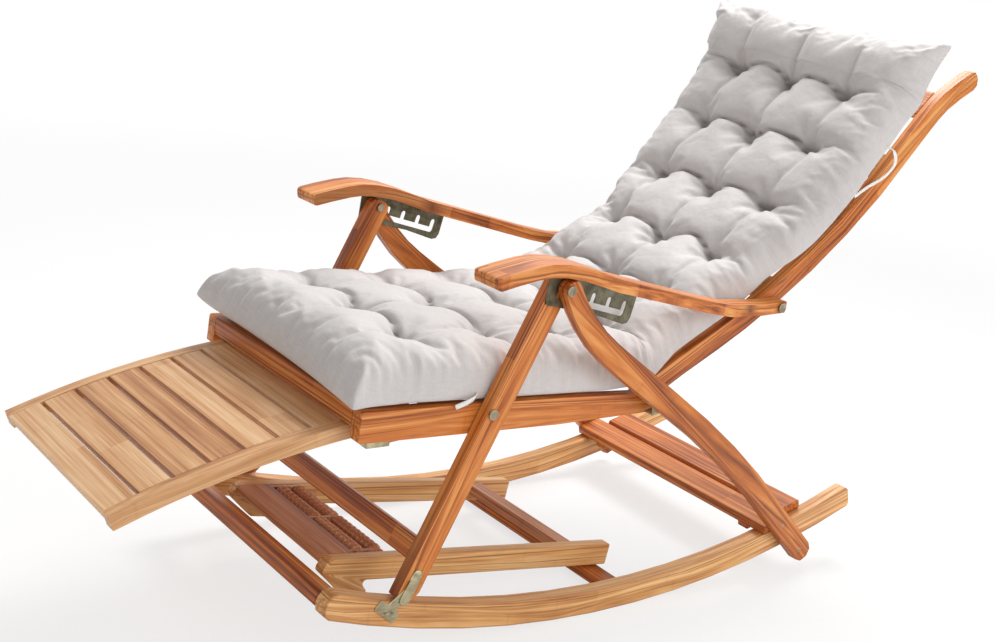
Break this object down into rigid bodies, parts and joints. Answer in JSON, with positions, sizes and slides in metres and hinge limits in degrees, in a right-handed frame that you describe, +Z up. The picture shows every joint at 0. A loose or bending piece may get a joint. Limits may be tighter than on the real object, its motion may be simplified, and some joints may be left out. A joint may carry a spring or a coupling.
{
  "type": "folding rocking chair",
  "caption": "Folding rocking lounger with arched rockers, hinged legs, a back held by rack plates under the arms, a slide-out footrest, foot rollers and a long tufted cushion",
  "frame": {"origin": "on the floor plane under the middle of the bounding box, with the flat contact facets of the rockers on z = 0", "axes": "+X to the sitter's left, +Y towards the back of the chair, +Z up"},
  "size_m": [0.58, 1.6532, 0.9768],
  "materials": {
    "bamboo_frame": "satin clear varnish on carbonised bamboo laminate",
    "bamboo_rocker": "satin clear varnish on yellower bamboo laminate",
    "bamboo_board": "satin varnish on pale bamboo boards",
    "bamboo_dark": "satin varnish on dark carbonised bamboo",
    "steel_bolt": "plain zinc-plated steel",
    "bronze_plate": "dull bronze-green plated steel",
    "cushion_cotton": "light warm grey satin-weave cotton"
  },
  "bodies": {
    "rocker_base": {"rocker_left": "bamboo_rocker", "rocker_right": "bamboo_rocker", "front_spreader": "bamboo_frame", "rear_crossbar": "bamboo_frame", "hinge_plate_left": "bronze_plate", "hinge_plate_right": "bronze_plate", "roller_rail_left": "bamboo_rocker", "roller_rail_right": "bamboo_rocker", "roller_tray": "bamboo_dark", "roller_rear_bar": "bamboo_dark"},
    "front_legs": {"front_leg_left": "bamboo_frame", "front_leg_right": "bamboo_frame", "front_plank": "bamboo_frame", "leg_strap_left": "bronze_plate", "leg_strap_right": "bronze_plate", "seat_bolt_left": "steel_bolt", "seat_bolt_right": "steel_bolt", "top_nut_left": "steel_bolt", "top_nut_right": "steel_bolt"},
    "rear_legs": {"rear_leg_left": "bamboo_frame", "rear_leg_right": "bamboo_frame", "rear_foot_boards": "bamboo_frame", "seat_saddle_left": "bronze_plate", "seat_saddle_right": "bronze_plate", "top_bolt_left": "steel_bolt", "top_bolt_right": "steel_bolt"},
    "seat": {"seat_rail_left": "bamboo_frame", "seat_rail_right": "bamboo_frame", "hinge_bolt_left": "steel_bolt", "hinge_bolt_right": "steel_bolt", "seat_front_rail": "bamboo_frame", "seat_slat_1": "bamboo_board", "seat_slat_2": "bamboo_board", "seat_slat_3": "bamboo_board", "seat_cushion": "cushion_cotton"},
    "backrest": {"back_rail_left": "bamboo_frame", "back_rail_right": "bamboo_frame", "back_slat_1": "bamboo_board", "back_slat_2": "bamboo_board", "back_slat_3": "bamboo_board", "back_slat_4": "bamboo_board", "back_crest": "bamboo_frame", "back_cushion": "cushion_cotton", "arm_bolt_left": "steel_bolt", "arm_bolt_right": "steel_bolt"},
    "armrest_left_body": {"armrest_left": "bamboo_frame", "rack_plate_left": "bronze_plate"},
    "armrest_right_body": {"armrest_right": "bamboo_frame", "rack_plate_right": "bronze_plate"},
    "footrest": {"footrest_frame": "bamboo_board", "footrest_board_1": "bamboo_board", "footrest_board_2": "bamboo_board", "footrest_board_3": "bamboo_board", "footrest_board_4": "bamboo_board", "footrest_board_5": "bamboo_board"},
    "roller_left_1": {"foot_roller_left_1": "bamboo_board"},
    "roller_left_2": {"foot_roller_left_2": "bamboo_board"},
    "roller_right_1": {"foot_roller_right_1": "bamboo_board"},
    "roller_right_2": {"foot_roller_right_2": "bamboo_board"}
  },
  "joints": [
    {"name": "fold", "type": "hinge", "parent": "rocker_base", "child": "front_legs", "pos_m": [0, -0.37508, 0.11839], "axis": [-1, 0, 0], "range_deg": [0, 45]},
    {"name": "rear_leg_fold", "type": "hinge", "parent": "front_legs", "child": "rear_legs", "pos_m": [0, -0.17258, 0.57739], "axis": [1, 0, 0], "range_deg": [0, 79.03]},
    {"name": "seat_fold", "type": "hinge", "parent": "front_legs", "child": "seat", "pos_m": [0, -0.26658, 0.38439], "axis": [1, 0, 0], "range_deg": [0, 45.5]},
    {"name": "recline", "type": "hinge", "parent": "seat", "child": "backrest", "pos_m": [0, 0.08342, 0.36139], "axis": [1, 0, 0], "range_deg": [0, 35]},
    {"name": "footrest_slide", "type": "hinge", "parent": "seat", "child": "footrest", "pos_m": [0, -0.28058, -1.12061], "axis": [-1, 0, 0], "range_deg": [0, 12.8]},
    {"name": "arm_level_left", "type": "hinge", "parent": "backrest", "child": "armrest_left_body", "pos_m": [0, 0.35242, 0.51339], "axis": [-1, 0, 0], "range_deg": [0, 21.7]},
    {"name": "arm_level_right", "type": "hinge", "parent": "backrest", "child": "armrest_right_body", "pos_m": [0, 0.35242, 0.51339], "axis": [-1, 0, 0], "range_deg": [0, 21.7]},
    {"name": "roller_spin_left_1", "type": "hinge", "parent": "rocker_base", "child": "roller_left_1", "pos_m": [0, -0.38325, 0.11584], "axis": [1, 0, 0], "continuous": true},
    {"name": "roller_spin_left_2", "type": "hinge", "parent": "rocker_base", "child": "roller_left_2", "pos_m": [0, -0.34951, 0.11164], "axis": [1, 0, 0], "continuous": true},
    {"name": "roller_spin_right_1", "type": "hinge", "parent": "rocker_base", "child": "roller_right_1", "pos_m": [0, -0.38325, 0.11584], "axis": [1, 0, 0], "continuous": true},
    {"name": "roller_spin_right_2", "type": "hinge", "parent": "rocker_base", "child": "roller_right_2", "pos_m": [0, -0.34951, 0.11164], "axis": [1, 0, 0], "continuous": true}
  ],
  "couplings": [
    {"joint": "rear_leg_fold", "follows": "fold", "ratio": 1.745},
    {"joint": "seat_fold", "follows": "fold", "ratio": 1},
    {"joint": "arm_level_left", "follows": "recline", "ratio": 0.6057},
    {"joint": "arm_level_right", "follows": "recline", "ratio": 0.6057}
  ]
}
